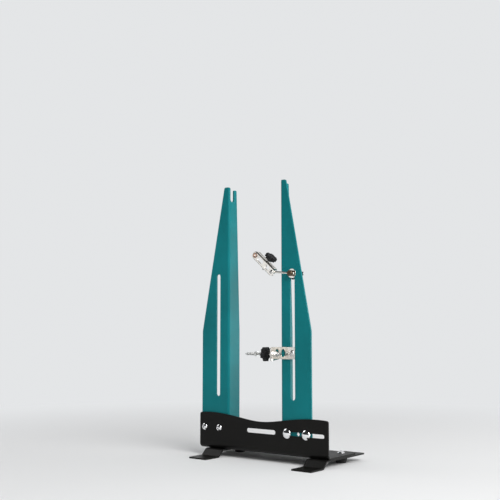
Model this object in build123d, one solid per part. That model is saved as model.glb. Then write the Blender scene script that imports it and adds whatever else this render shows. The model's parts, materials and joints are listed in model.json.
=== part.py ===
"""Bench truing stand for bicycle wheels.

A folded sheet base carries two folded sheet uprights with open axle seats at
their tops. The left upright is bolted down, and the right one slides sideways on
two carriage bolts to suit the hub. A rim gauge and a brake disc gauge clamp in
the long slot of the right upright.

Millimetres. X runs along the front of the base, Y goes back, Z goes up. The
origin is on the ground, under the middle of the stand's box.
"""
from build123d import *
import math
import os

# Base: one sheet folded into a front plate and a floor
PLATE_WIDTH = 274.0
PLATE_SHEET = 3.0
PLATE_BEND = 8.0
PLATE_CREST = 76.2
PLATE_DIP = 66.0
PLATE_CORNER = 4.0
FLOOR_DEPTH = 88.0
FLOOR_CORNER = 5.0
WAVE_SHARES = ((0.0, 0.0), (0.36, 0.50), (0.74, 1.0), (1.0, 0.90))

# Foot strips: a toe on the ground, a joggle, and a web under the floor
FOOT_HEIGHT = 13.0
FOOT_SHEET = 2.5
FOOT_WIDTH = 39.0
FOOT_BEND = 3.5
TOE_REACH = 50.0
TOE_LENGTH = 36.0
JOGGLE_RUN = 11.0
TAIL_REACH = 27.0
TOE_CORNER = 2.0
LEFT_FOOT_INSET = 37.0
RIGHT_FOOT_INSET = 19.5
FRONT_SCREW_SETBACK = 22.0
REAR_SCREW_SETBACK = 70.0
RUBBER_DIAMETER = 22.0
RUBBER_TREAD_DIAMETER = 18.0

# Bolt line of both uprights in the front plate
BOLT_LINE = 50.0
LEFT_BOLT_INSETS = (11.5, 45.0)
RIGHT_BOLT_INSETS = (81.9, 43.4)
WIDTH_SLOT_HEIGHT = 6.6
WIDTH_SLOT_MARGIN = 6.8
WIDTH_TRAVEL = 29.0
SPARE_SLOT_HEIGHT = 7.6
SPARE_SLOT_SHARES = (0.348, 0.860)

# Uprights: one pattern, mirrored
UPRIGHT_SHEET = 3.0
UPRIGHT_BEND = 4.0
UPRIGHT_WIDTH = 61.5
UPRIGHT_TIP_WIDTH = 11.0
UPRIGHT_BOTTOM = 26.0
UPRIGHT_SHOULDER = 221.0
UPRIGHT_TOP = 482.0
UPRIGHT_CORNER = 6.0
TIP_ROUND = 3.0
FLANGE_DEPTH = 31.0
HORN_SETBACK = 21.6
HORN_TOP = 478.0
HORN_ROUND = 2.0
AXLE_HEIGHT = 460.7
AXLE_SETBACK = 9.2
AXLE_SLOT_WIDTH = 10.4
LEFT_FACE_INSET = 64.1
RIGHT_FACE_INSET = 95.5
GAUGE_SLOT_WIDTH = 9.0
GAUGE_SLOT_SETBACK = 24.5
GAUGE_SLOT_BOTTOM = 105.0
GAUGE_SLOT_HEADROOM = 5.6
SIGHT_HOLE_DIAMETER = 6.5
SIGHT_HOLE_SETBACK = 34.4

# Fasteners
M6 = 6.0
M5 = 5.0
M4 = 4.0
HOLE_CLEARANCE = 0.4
NUT_CLEARANCE = 0.1
SLIDE_CLEARANCE = 0.1
RUNNING_CLEARANCE = 0.05
PLATE_BUTTON_DIAMETER = 12.0
PLATE_BUTTON_HEIGHT = 4.2
CARRIAGE_DIAMETER = 16.5
CARRIAGE_HEIGHT = 4.6
CARRIAGE_NECK = 2.6
WASHER_DIAMETER = 14.0
WASHER_THICKNESS = 1.6
BUTTON_M6_DIAMETER = 13.0
BUTTON_M6_HEIGHT = 3.6
NUT_M6_FLATS = 10.0
NUT_M6_HEIGHT = 5.0
NUT_M5_FLATS = 8.0
NUT_M5_HEIGHT = 4.7
NUT_M4_FLATS = 7.0
NUT_M4_HEIGHT = 3.2
SCREW_PROUD = 2.5
SCREW_CHAMFER = 0.6
SOCKET_SHARE = 0.36
SOCKET_DEPTH_SHARE = 0.6
RIM_SHARE = 0.22

# Star knobs
KNOB_DIAMETER = 25.6
KNOB_HEAD = 8.0
KNOB_HUB_DIAMETER = 13.0
KNOB_HUB = 4.5
SMALL_KNOB_DIAMETER = 22.5
SMALL_KNOB_HEAD = 7.0
SMALL_KNOB_HUB_DIAMETER = 10.0
SMALL_KNOB_HUB = 3.0
KNOB_LOBES = 5
LOBE_OFFSET_SHARE = 1.08
LOBE_RADIUS_SHARE = 0.38
LOBE_ROUND_SHARE = 0.11
KNOB_EDGE_SHARE = 0.07
KNOB_FLOOR = 2.0

# Rim gauge: a folded bracket with a screw that points at the rim's side.
# Setbacks are measured to the left from the middle of the gauge slot
RIM_GAUGE_HEIGHT = 183.7
RIM_BRACKET_SHEET = 3.0
RIM_BRACKET_HEIGHT = 20.4
RIM_BRACKET_BEYOND = 6.5
RIM_BRACKET_BEND = 4.0
RIM_BRACKET_CORNER = 1.5
RIM_LUG_SETBACK = 27.0
RIM_LUG_REACH = 24.6
RIM_LUG_DROP = 3.0
RIM_LUG_CORNER = 2.5
RIM_WINDOW_SETBACK = 17.6
RIM_WINDOW_WIDTH = 8.0
RIM_WINDOW_HEIGHT = 13.6
RIM_FEELER_REACH = 14.5
RIM_FEELER_DROP = 1.7
RIM_TIP_SETBACK = 86.0
RIM_TIP_LENGTH = 3.0
RIM_TIP_DIAMETER = 3.0
RIM_SCREW_PROUD = 4.5
RIM_STOP_SETBACK = 65.6
RIM_KNOB_SETBACK = 47.7
RIM_GUIDE_HEIGHT = 18.0
RIM_CLAMP_HEAD_DIAMETER = 10.5
RIM_CLAMP_HEAD_HEIGHT = 3.3

# Disc gauge: a stud that grips a rod, and a channel link on the rod's end
DISC_GAUGE_HEIGHT = 318.4
DISC_WASHER_DIAMETER = 16.0
STUD_HEAD_DIAMETER = 10.0
STUD_HEAD_HEIGHT = 7.6
STUD_BORE_HEIGHT = 2.6
SET_SCREW_GAP = 0.1
SET_SCREW_SOCKET = 2.2
ROD_DIAMETER = 3.6
ROD_REACH = 39.0
ROD_TAIL = 7.0
ROD_RISE_DEG = 6.0
ROD_EYE_DIAMETER = 8.5
ROD_EYE_THICKNESS = 2.2
ROD_EYE_PROUD = 0.2
ROD_EYE_LAP = 0.1
LINK_SHEET = 1.6
LINK_WIDTH = 15.0
LINK_LENGTH = 52.3
LINK_HEEL = 6.2
LINK_DEPTH = 9.0
LINK_BEND = 2.2
LINK_ANGLE_DEG = 138.8
LINK_FAR_WINDOW = (23.5, 38.0)
LINK_NEAR_WINDOW = (6.4, 16.2)
LINK_WINDOW_WIDTH = 7.5
PIVOT_HEAD_DIAMETER = 7.0
PIVOT_HEAD_HEIGHT = 1.8
PIVOT_PROUD = 0.8
EYELET_SETBACK = 46.1
EYELET_FLANGE = 9.4
EYELET_BARREL = 6.2
EYELET_BORE = 4.4
EYELET_LIP = 0.8
DISC_FEELER_SETBACK = 19.5
DISC_FEELER_DEPTH = 5.2
DISC_KNOB_OFFSET = 10.0
DISC_TIP_REACH = 10.5

OVERRUN = 5.0

# Places worked out from the sizes
half_plate = PLATE_WIDTH / 2
foot_xs = (LEFT_FOOT_INSET - half_plate, half_plate - RIGHT_FOOT_INSET)
left_bolt_xs = [inset - half_plate for inset in LEFT_BOLT_INSETS]
right_bolt_xs = [half_plate - inset for inset in RIGHT_BOLT_INSETS]
left_face_x = LEFT_FACE_INSET - half_plate
right_face_x = half_plate - RIGHT_FACE_INSET
width_slot_left = right_bolt_xs[0] - WIDTH_SLOT_MARGIN
width_slot_right = right_bolt_xs[1] + WIDTH_TRAVEL + WIDTH_SLOT_MARGIN
STANDING = (Align.CENTER, Align.CENTER, Align.MIN)
front_y = (TOE_REACH - FLOOR_DEPTH - TAIL_REACH) / 2
floor_top = FOOT_HEIGHT + PLATE_SHEET
left_upright_y = front_y + PLATE_SHEET
right_upright_y = left_upright_y + SLIDE_CLEARANCE
upright_back_y = right_upright_y + UPRIGHT_SHEET
gauge_slot_x = right_face_x + GAUGE_SLOT_SETBACK
gauge_slot_top = DISC_GAUGE_HEIGHT + GAUGE_SLOT_HEADROOM
washer_back_y = right_upright_y - SLIDE_CLEARANCE
disc_seat_y = washer_back_y - WASHER_THICKNESS - SLIDE_CLEARANCE
rod_y = disc_seat_y - STUD_BORE_HEIGHT
rod_rise = math.radians(ROD_RISE_DEG)
pivot_x = gauge_slot_x - ROD_REACH * math.cos(rod_rise)
pivot_z = DISC_GAUGE_HEIGHT + ROD_REACH * math.sin(rod_rise)
eye_front_y = rod_y - ROD_DIAMETER / 2 - ROD_EYE_PROUD
web_front_y = eye_front_y - SLIDE_CLEARANCE - LINK_SHEET
rim_front_y = right_upright_y - SLIDE_CLEARANCE - RIM_BRACKET_SHEET
rim_feeler_y = rim_front_y - RIM_FEELER_REACH
rim_feeler_z = RIM_GAUGE_HEIGHT - RIM_FEELER_DROP
rim_lug_x = gauge_slot_x - RIM_LUG_SETBACK


def seen_from_front(x, y, z):
    """Plane at a point whose normal points to the front, -Y."""
    return Plane(origin=(x, y, z), x_dir=(1, 0, 0), z_dir=(0, -1, 0))


def seen_from_right(x, y, z):
    """Plane at a point whose normal points along +X."""
    return Plane(origin=(x, y, z), x_dir=(0, 1, 0), z_dir=(1, 0, 0))


def seen_from_left(x, y, z):
    """Plane at a point whose normal points along -X."""
    return Plane(origin=(x, y, z), x_dir=(0, 0, 1), z_dir=(-1, 0, 0))


def folded_strip(points, bend, sheet):
    """Side outline of a strip: a path with rounded bends, thickened to its left."""
    path = FilletPolyline(*points, radius=bend)
    return make_face(offset(path, amount=sheet, side=Side.LEFT))


def dome(diameter, height):
    """Shallow domed head with a short straight rim, standing on z = 0."""
    radius = diameter / 2
    rise = (1 - RIM_SHARE) * height
    ball_radius = (radius**2 + rise**2) / (2 * rise)
    ball = Pos(0, 0, height - ball_radius) * Sphere(ball_radius)
    return ball & Cylinder(radius, height, align=STANDING)


def shank(diameter, length):
    """Plain shank that hangs from z = 0, with a chamfered end."""
    rod = Pos(0, 0, -length) * Cylinder(diameter / 2, length, align=STANDING)
    return chamfer(rod.edges().sort_by(Axis.Z)[0], SCREW_CHAMFER)


def button_screw(diameter, head_diameter, head_height, length):
    """Domed screw with a hexagon socket; the head stands on z = 0."""
    socket_depth = SOCKET_DEPTH_SHARE * head_height
    socket = extrude(RegularPolygon(SOCKET_SHARE * head_diameter / 2, 6), amount=socket_depth)
    head = dome(head_diameter, head_height) - Pos(0, 0, head_height - socket_depth) * socket
    return head + shank(diameter, length)


def carriage_bolt(diameter, length):
    """Domed bolt with a square neck that keeps it from turning in a slot."""
    neck = Pos(0, 0, -CARRIAGE_NECK) * Box(diameter, diameter, CARRIAGE_NECK, align=STANDING)
    return dome(CARRIAGE_DIAMETER, CARRIAGE_HEIGHT) + neck + shank(diameter, length)


def hex_nut(diameter, flats, height):
    """Hexagon nut on z = 0, with its corners turned off at both faces."""
    corner_radius = flats / math.sqrt(3)
    prism = extrude(RegularPolygon(corner_radius, 6), amount=height)
    turned = Cylinder(corner_radius, height, align=STANDING)
    turned = chamfer(turned.edges().filter_by(GeomType.CIRCLE), (corner_radius - flats / 2))
    hole = Cylinder(diameter / 2 + NUT_CLEARANCE, height, align=STANDING)
    return (prism & turned) - hole


def bore_for(thread):
    """Bore of a knob for the screw that turns in it."""
    return thread + 2 * RUNNING_CLEARANCE


def washer(diameter, hole_diameter, thickness):
    """Plain washer on z = 0."""
    ring = Circle(diameter / 2) - Circle(hole_diameter / 2)
    return extrude(ring, amount=thickness)


def star_knob(diameter, head, hub_diameter, hub, bore, bore_depth):
    """Scalloped knob: its hub stands on z = 0 and the head is on top of it."""
    radius = diameter / 2
    scallops = PolarLocations(LOBE_OFFSET_SHARE * radius, KNOB_LOBES)
    star = Circle(radius) - scallops * Circle(LOBE_RADIUS_SHARE * radius)
    star = fillet(star.vertices(), LOBE_ROUND_SHARE * radius)
    body = Pos(0, 0, hub) * extrude(star, amount=head)
    rims = body.edges().filter_by(lambda edge: abs(edge.center().Z - hub - head / 2) > head / 4)
    body = fillet(rims, KNOB_EDGE_SHARE * radius)
    boss = Cylinder(hub_diameter / 2, hub + head / 2, align=STANDING)
    hole = Cylinder(bore / 2, bore_depth, align=STANDING)
    return body + boss - hole


def wave_points():
    """Points of the front plate's wavy top edge, from left to right."""
    half = PLATE_WIDTH / 2
    rise = PLATE_CREST - PLATE_DIP
    right = [(across * half, PLATE_DIP + up * rise) for across, up in WAVE_SHARES]
    left = [(-x, z) for x, z in reversed(right[1:])]
    return left + right


def level_slot(left, right, height):
    """Outline of a round-ended slot on the bolt line, from its left end to its right end."""
    return Pos((left + right) / 2, BOLT_LINE) * SlotOverall(right - left, height)


def base_plate():
    """Front plate and floor, folded from one sheet."""
    back = front_y + FLOOR_DEPTH
    profile = folded_strip(
        [(front_y, PLATE_CREST + OVERRUN), (front_y, FOOT_HEIGHT), (back, FOOT_HEIGHT)],
        PLATE_BEND,
        PLATE_SHEET,
    )
    sheet = extrude(Plane.YZ * profile, amount=PLATE_WIDTH / 2, both=True)
    rear_corners = sheet.edges().filter_by(Axis.Z).group_by(Axis.Y)[-1]
    sheet = fillet(rear_corners, FLOOR_CORNER)

    points = wave_points()
    lid = PLATE_CREST + 2 * OVERRUN
    above = Spline(*points) + Polyline(points[-1], (points[-1][0], lid), (points[0][0], lid), points[0])
    cutter = seen_from_front(0, front_y + PLATE_SHEET + OVERRUN, 0) * make_face(above)
    sheet -= extrude(cutter, amount=PLATE_SHEET + 2 * OVERRUN)
    top_corners = sheet.edges().filter_by(Axis.Y).group_by(Axis.Z)[-1]
    top_corners = [edge for edge in top_corners if abs(edge.center().X) > PLATE_WIDTH / 3]
    sheet = fillet(top_corners, PLATE_CORNER)

    face = seen_from_front(0, front_y - OVERRUN, 0)
    openings = level_slot(width_slot_left, width_slot_right, WIDTH_SLOT_HEIGHT)
    gap = width_slot_left - left_face_x
    spare_left, spare_right = [left_face_x + share * gap for share in SPARE_SLOT_SHARES]
    openings += level_slot(spare_left, spare_right, SPARE_SLOT_HEIGHT)
    for x in left_bolt_xs:
        openings += Pos(x, BOLT_LINE) * Circle((M6 + HOLE_CLEARANCE) / 2)
    sheet -= extrude(face * openings, amount=-(PLATE_SHEET + 2 * OVERRUN))
    return sheet - foot_holes()


def foot_screw_places():
    """Plan positions of the screws that hold the foot strips."""
    setbacks = (FRONT_SCREW_SETBACK, REAR_SCREW_SETBACK)
    return [(x, front_y + setback) for x in foot_xs for setback in setbacks]


def foot_holes():
    """Clearance holes of the foot screws through the floor and the strips."""
    drill = Cylinder((M6 + HOLE_CLEARANCE) / 2, FOOT_HEIGHT + 2 * PLATE_SHEET, align=STANDING)
    holes = [Pos(x, y, 0) * drill for x, y in foot_screw_places()]
    return Compound(holes)


def foot_strip(x):
    """Strip with its toe on the ground and its web against the floor."""
    toe = front_y - TOE_REACH
    heel = toe + TOE_LENGTH
    web = FOOT_HEIGHT - FOOT_SHEET
    tail = front_y + FLOOR_DEPTH + TAIL_REACH
    profile = folded_strip(
        [(toe, 0), (heel, 0), (heel + JOGGLE_RUN, web), (tail, web)], FOOT_BEND, FOOT_SHEET
    )
    strip = extrude(Plane.YZ * profile, amount=FOOT_WIDTH / 2, both=True)
    ends = strip.edges().filter_by(Axis.Z)
    strip = fillet(ends, TOE_CORNER)
    return Pos(x, 0, 0) * strip - foot_holes()


def rubber_foot():
    """Tapered rubber foot with a pocket for the nut and the end of the screw."""
    height = FOOT_HEIGHT - FOOT_SHEET
    body = Cone(RUBBER_TREAD_DIAMETER / 2, RUBBER_DIAMETER / 2, height, align=STANDING)
    pocket_depth = NUT_M6_HEIGHT + NUT_CLEARANCE
    pocket = Cylinder(NUT_M6_FLATS / math.sqrt(3) + NUT_CLEARANCE, pocket_depth, align=STANDING)
    hole_depth = NUT_M6_HEIGHT + SCREW_PROUD + NUT_CLEARANCE
    hole = Cylinder(M6 / 2 + NUT_CLEARANCE, hole_depth, align=STANDING)
    return body - Pos(0, 0, height - pocket_depth) * pocket - Pos(0, 0, height - hole_depth) * hole


def upright(bolt_setbacks):
    """Right-hand upright: its wheel side is at x = 0 and its front face at y = 0."""
    section = make_face(
        Polyline(
            (0, 0),
            (UPRIGHT_WIDTH, 0),
            (UPRIGHT_WIDTH, UPRIGHT_SHEET),
            (UPRIGHT_SHEET, UPRIGHT_SHEET),
            (UPRIGHT_SHEET, FLANGE_DEPTH),
            (0, FLANGE_DEPTH),
            close=True,
        )
    )
    inner = section.vertices().sort_by_distance((UPRIGHT_SHEET, UPRIGHT_SHEET))[0]
    section = fillet(inner, UPRIGHT_BEND - UPRIGHT_SHEET)
    section = fillet(section.vertices().sort_by_distance((0, 0))[0], UPRIGHT_BEND)
    angle = extrude(Pos(0, 0, UPRIGHT_BOTTOM) * section, amount=UPRIGHT_TOP - UPRIGHT_BOTTOM)

    outline = make_face(
        Polyline(
            (0, UPRIGHT_BOTTOM),
            (UPRIGHT_WIDTH, UPRIGHT_BOTTOM),
            (UPRIGHT_WIDTH, UPRIGHT_SHOULDER),
            (UPRIGHT_TIP_WIDTH, UPRIGHT_TOP),
            (0, UPRIGHT_TOP),
            close=True,
        )
    )
    corners = outline.vertices()
    outline = fillet(corners.sort_by_distance((UPRIGHT_WIDTH, UPRIGHT_BOTTOM))[0], UPRIGHT_CORNER)
    outline = fillet(outline.vertices().group_by(Axis.Y)[-1], TIP_ROUND)
    angle &= extrude(seen_from_front(0, 0, 0) * outline, amount=-FLANGE_DEPTH)
    angle &= extrude(Plane.YZ * flange_outline(), amount=UPRIGHT_WIDTH)

    slot_length = gauge_slot_top - GAUGE_SLOT_BOTTOM
    middle = (gauge_slot_top + GAUGE_SLOT_BOTTOM) / 2
    openings = Pos(GAUGE_SLOT_SETBACK, middle) * Rot(0, 0, 90) * SlotOverall(slot_length, GAUGE_SLOT_WIDTH)
    openings += Pos(SIGHT_HOLE_SETBACK, BOLT_LINE) * Circle(SIGHT_HOLE_DIAMETER / 2)
    for setback in bolt_setbacks:
        openings += Pos(setback, BOLT_LINE) * Circle((M6 + HOLE_CLEARANCE) / 2)
    cutter = seen_from_front(0, -OVERRUN, 0) * openings
    return angle - extrude(cutter, amount=-(UPRIGHT_SHEET + 2 * OVERRUN))


def flange_outline():
    """Side outline of an upright, with the open axle slot at its top."""
    half = AXLE_SLOT_WIDTH / 2
    front_wall = AXLE_SETBACK - half
    rear_wall = AXLE_SETBACK + half
    edge = Polyline(
        (front_wall, AXLE_HEIGHT),
        (front_wall, UPRIGHT_TOP),
        (0, UPRIGHT_TOP),
        (0, UPRIGHT_BOTTOM),
        (FLANGE_DEPTH, UPRIGHT_BOTTOM),
        (FLANGE_DEPTH, UPRIGHT_SHOULDER),
        (HORN_SETBACK, HORN_TOP),
        (rear_wall, HORN_TOP),
        (rear_wall, AXLE_HEIGHT),
    )
    seat = ThreePointArc((rear_wall, AXLE_HEIGHT), (AXLE_SETBACK, AXLE_HEIGHT - half), (front_wall, AXLE_HEIGHT))
    outline = make_face(edge + seat)
    horn = [
        outline.vertices().sort_by_distance((HORN_SETBACK, HORN_TOP))[0],
        outline.vertices().sort_by_distance((rear_wall, HORN_TOP))[0],
    ]
    return fillet(horn, HORN_ROUND)


def placed_right(shape):
    """Move an upright from its own frame to its place on the right."""
    return Pos(right_face_x, right_upright_y, 0) * shape


def placed_left(shape):
    """Mirror an upright and move it to its place on the left."""
    return Pos(left_face_x, left_upright_y, 0) * mirror(shape, about=Plane.YZ)


def upright_stack(bolt, xs, sheet_y):
    """Bolts through the front plate with washers and nuts behind the upright."""
    back = sheet_y + UPRIGHT_SHEET
    bolts = [seen_from_front(x, front_y, BOLT_LINE) * bolt for x in xs]
    plain = washer(WASHER_DIAMETER, M6 + HOLE_CLEARANCE, WASHER_THICKNESS)
    nut = hex_nut(M6, NUT_M6_FLATS, NUT_M6_HEIGHT)
    washer_y = back + WASHER_THICKNESS
    washers = [seen_from_front(x, washer_y, BOLT_LINE) * plain for x in xs]
    nuts = [seen_from_front(x, washer_y + NUT_M6_HEIGHT, BOLT_LINE) * nut for x in xs]
    return bolts, washers, nuts


def rim_bracket():
    """Plate in front of the upright, folded forward at its left end into a lug."""
    back = rim_front_y + RIM_BRACKET_SHEET
    lug_end = rim_front_y - RIM_LUG_REACH
    path = [(gauge_slot_x + RIM_BRACKET_BEYOND, back), (rim_lug_x, back), (rim_lug_x, lug_end)]
    profile = folded_strip(path, RIM_BRACKET_BEND, RIM_BRACKET_SHEET)
    high = RIM_GAUGE_HEIGHT + RIM_BRACKET_HEIGHT / 2
    low = high - RIM_BRACKET_HEIGHT
    bracket = extrude(Pos(0, 0, low - RIM_LUG_DROP) * profile, amount=RIM_BRACKET_HEIGHT + RIM_LUG_DROP)

    fold_y = rim_front_y - RIM_BRACKET_BEND + RIM_BRACKET_SHEET
    lug_low = low - RIM_LUG_DROP
    side = make_face(
        Polyline((back, low), (fold_y, low), (lug_end, lug_low), (lug_end, high), (back, high), close=True)
    )
    side = fillet(side.vertices().group_by(Axis.X)[0], RIM_LUG_CORNER)
    bracket &= extrude(seen_from_right(rim_lug_x - OVERRUN, 0, 0) * side, amount=half_plate)
    corners = bracket.edges().filter_by(Axis.Y).group_by(Axis.X)[-1]
    bracket = fillet(corners, RIM_BRACKET_CORNER)

    window_x = gauge_slot_x - RIM_WINDOW_SETBACK
    openings = Pos(window_x, RIM_GAUGE_HEIGHT) * Ellipse(RIM_WINDOW_WIDTH / 2, RIM_WINDOW_HEIGHT / 2)
    openings += Pos(gauge_slot_x, RIM_GAUGE_HEIGHT) * Circle((M6 + HOLE_CLEARANCE) / 2)
    face = seen_from_front(0, rim_front_y - OVERRUN, 0)
    bracket -= extrude(face * openings, amount=-(RIM_BRACKET_SHEET + 2 * OVERRUN))
    bore = Cylinder(M5 / 2 + RUNNING_CLEARANCE, RIM_BRACKET_SHEET + 2 * OVERRUN, align=STANDING)
    return bracket - seen_from_right(rim_lug_x - OVERRUN, rim_feeler_y, rim_feeler_z) * bore


def rim_guide():
    """Block that fills the slot, so that the bracket can't turn."""
    width = GAUGE_SLOT_WIDTH - 2 * SLIDE_CLEARANCE
    block = Box(width, UPRIGHT_SHEET - SLIDE_CLEARANCE, RIM_GUIDE_HEIGHT)
    block = fillet(block.edges().filter_by(Axis.Y), width / 4)
    y = right_upright_y - SLIDE_CLEARANCE + (UPRIGHT_SHEET - SLIDE_CLEARANCE) / 2
    block = Pos(gauge_slot_x, y, RIM_GAUGE_HEIGHT) * block
    bore = Cylinder((M6 + HOLE_CLEARANCE) / 2, UPRIGHT_SHEET + 2 * OVERRUN)
    return block - seen_from_front(gauge_slot_x, y, RIM_GAUGE_HEIGHT) * bore


def rim_gauge():
    """All pieces of the rim gauge, by name."""
    pieces = {"rim_bracket": rim_bracket(), "rim_guide": rim_guide()}
    washer_back = upright_back_y + SLIDE_CLEARANCE + WASHER_THICKNESS
    knob_y = washer_back + SLIDE_CLEARANCE
    screw_length = knob_y - rim_front_y + KNOB_HUB + KNOB_HEAD - KNOB_FLOOR - SLIDE_CLEARANCE
    screw = button_screw(M6, RIM_CLAMP_HEAD_DIAMETER, RIM_CLAMP_HEAD_HEIGHT, screw_length)
    pieces["rim_clamp_screw"] = seen_from_front(gauge_slot_x, rim_front_y, RIM_GAUGE_HEIGHT) * screw
    pieces["rim_clamp_washer"] = seen_from_front(gauge_slot_x, washer_back, RIM_GAUGE_HEIGHT) * washer(
        WASHER_DIAMETER, M6 + HOLE_CLEARANCE, WASHER_THICKNESS
    )
    pieces["rim_clamp_knob"] = clamp_knob(knob_y, RIM_GAUGE_HEIGHT, M6)

    nut_x = rim_lug_x + RIM_BRACKET_SHEET
    nut = hex_nut(M5, NUT_M5_FLATS, NUT_M5_HEIGHT)
    pieces["rim_feeler_nut"] = seen_from_right(nut_x, rim_feeler_y, rim_feeler_z) * nut
    stop_x = gauge_slot_x - RIM_STOP_SETBACK
    pieces["rim_stop_nut"] = seen_from_right(stop_x, rim_feeler_y, rim_feeler_z) * nut

    tip_x = gauge_slot_x - RIM_TIP_SETBACK
    length = nut_x + NUT_M5_HEIGHT + RIM_SCREW_PROUD - tip_x
    rod = Cylinder(M5 / 2, length - RIM_TIP_LENGTH, align=STANDING)
    rod = chamfer(rod.edges().sort_by(Axis.Z)[-1], SCREW_CHAMFER)
    tip = Cone(RIM_TIP_DIAMETER / 2, M5 / 2, RIM_TIP_LENGTH, align=STANDING)
    feeler = tip + Pos(0, 0, RIM_TIP_LENGTH) * rod
    pieces["rim_feeler_screw"] = seen_from_right(tip_x, rim_feeler_y, rim_feeler_z) * feeler
    through = KNOB_HUB + KNOB_HEAD + OVERRUN
    knob = star_knob(KNOB_DIAMETER, KNOB_HEAD, KNOB_HUB_DIAMETER, KNOB_HUB, bore_for(M5), through)
    hub_x = gauge_slot_x - RIM_KNOB_SETBACK + KNOB_HEAD + KNOB_HUB
    pieces["rim_feeler_knob"] = seen_from_left(hub_x, rim_feeler_y, rim_feeler_z) * knob
    return pieces


def clamp_knob(y, z, thread):
    """Clamp knob behind the right upright, with its hub towards the upright."""
    depth = KNOB_HUB + KNOB_HEAD - KNOB_FLOOR
    knob = star_knob(KNOB_DIAMETER, KNOB_HEAD, KNOB_HUB_DIAMETER, KNOB_HUB, bore_for(thread), depth)
    facing_back = Plane(origin=(gauge_slot_x, y, z), x_dir=(-1, 0, 0), z_dir=(0, 1, 0))
    return facing_back * knob


def along_rod(x, z):
    """Plane at a point of the rod whose normal runs along it, away from its eye."""
    direction = (math.cos(rod_rise), 0, -math.sin(rod_rise))
    return Plane(origin=(x, rod_y, z), x_dir=(0, 1, 0), z_dir=direction)


def on_link(distance):
    """Plane across the link: X across it to its knob, Y to the back, Z along it."""
    angle = math.radians(LINK_ANGLE_DEG)
    along = (math.cos(angle), 0, math.sin(angle))
    across = (math.sin(angle), 0, -math.cos(angle))
    x = pivot_x + distance * along[0]
    z = pivot_z + distance * along[2]
    return Plane(origin=(x, web_front_y, z), x_dir=across, z_dir=along)


def across_link(offset):
    """Plane on the disc feeler's line whose normal points to its knob."""
    base = on_link(DISC_FEELER_SETBACK)
    origin = base.origin + base.x_dir * offset + base.y_dir * DISC_FEELER_DEPTH
    return Plane(origin=origin, x_dir=base.y_dir, z_dir=base.x_dir)


def link_face(distance):
    """Plane on the front of the link's web: X across it, Y along it."""
    base = on_link(distance)
    return Plane(origin=base.origin, x_dir=base.x_dir, z_dir=(0, -1, 0))


def disc_stud():
    """Stud with a cross hole for the rod in its round head."""
    knob_y = upright_back_y + SLIDE_CLEARANCE + WASHER_THICKNESS + SLIDE_CLEARANCE
    seat = disc_seat_y
    length = knob_y - seat + KNOB_HUB + KNOB_HEAD - KNOB_FLOOR - SLIDE_CLEARANCE
    head = Cylinder(STUD_HEAD_DIAMETER / 2, STUD_HEAD_HEIGHT, align=STANDING)
    head = chamfer(head.edges().sort_by(Axis.Z)[-1], SCREW_CHAMFER)
    head -= Pos(0, 0, STUD_BORE_HEIGHT) * Cylinder(M4 / 2, STUD_HEAD_HEIGHT, align=STANDING)
    stud = seen_from_front(gauge_slot_x, seat, DISC_GAUGE_HEIGHT) * (head + shank(M6, length))
    bore = Cylinder(ROD_DIAMETER / 2 + RUNNING_CLEARANCE, STUD_HEAD_DIAMETER + 2 * OVERRUN)
    return stud - along_rod(gauge_slot_x, DISC_GAUGE_HEIGHT) * bore


def disc_set_screw():
    """Grub screw that presses on the rod from the front of the stud's head."""
    start = STUD_BORE_HEIGHT + ROD_DIAMETER / 2 + SET_SCREW_GAP
    length = STUD_HEAD_HEIGHT - start - SET_SCREW_GAP
    grub = Cylinder(M4 / 2 - SET_SCREW_GAP / 2, length, align=STANDING)
    socket_depth = SOCKET_DEPTH_SHARE * length
    socket = extrude(RegularPolygon(SET_SCREW_SOCKET / 2, 6), amount=socket_depth)
    grub -= Pos(0, 0, length - socket_depth) * socket
    return seen_from_front(gauge_slot_x, disc_seat_y - start, DISC_GAUGE_HEIGHT) * grub


def disc_rod():
    """Rod through the stud, with a flat eye at its left end."""
    rod = Cylinder(ROD_DIAMETER / 2, ROD_REACH + ROD_TAIL, align=STANDING)
    rod = chamfer(rod.edges().sort_by(Axis.Z)[-1], SCREW_CHAMFER)
    rod = along_rod(pivot_x, pivot_z) * rod
    pivot = seen_from_front(pivot_x, eye_front_y, pivot_z)
    clear = Cylinder(ROD_EYE_DIAMETER / 2 - ROD_EYE_LAP, 2 * (ROD_DIAMETER + OVERRUN))
    eye = Pos(0, 0, -ROD_EYE_THICKNESS) * Cylinder(ROD_EYE_DIAMETER / 2, ROD_EYE_THICKNESS, align=STANDING)
    hole = Cylinder(M4 / 2 + NUT_CLEARANCE, ROD_DIAMETER + 2 * OVERRUN)
    return (rod - pivot * clear) + pivot * eye - pivot * hole


def disc_pivot():
    """Pivot screw through the link and the rod's eye, and the nut behind them."""
    grip = LINK_SHEET + SLIDE_CLEARANCE + ROD_EYE_THICKNESS + SLIDE_CLEARANCE
    screw = button_screw(M4, PIVOT_HEAD_DIAMETER, PIVOT_HEAD_HEIGHT, grip + NUT_M4_HEIGHT + PIVOT_PROUD)
    head_y = web_front_y - SLIDE_CLEARANCE
    nut_y = eye_front_y + ROD_EYE_THICKNESS + SLIDE_CLEARANCE + NUT_M4_HEIGHT
    nut = hex_nut(M4, NUT_M4_FLATS, NUT_M4_HEIGHT)
    placed_screw = seen_from_front(pivot_x, head_y, pivot_z) * screw
    return placed_screw, seen_from_front(pivot_x, nut_y, pivot_z) * nut


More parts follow.
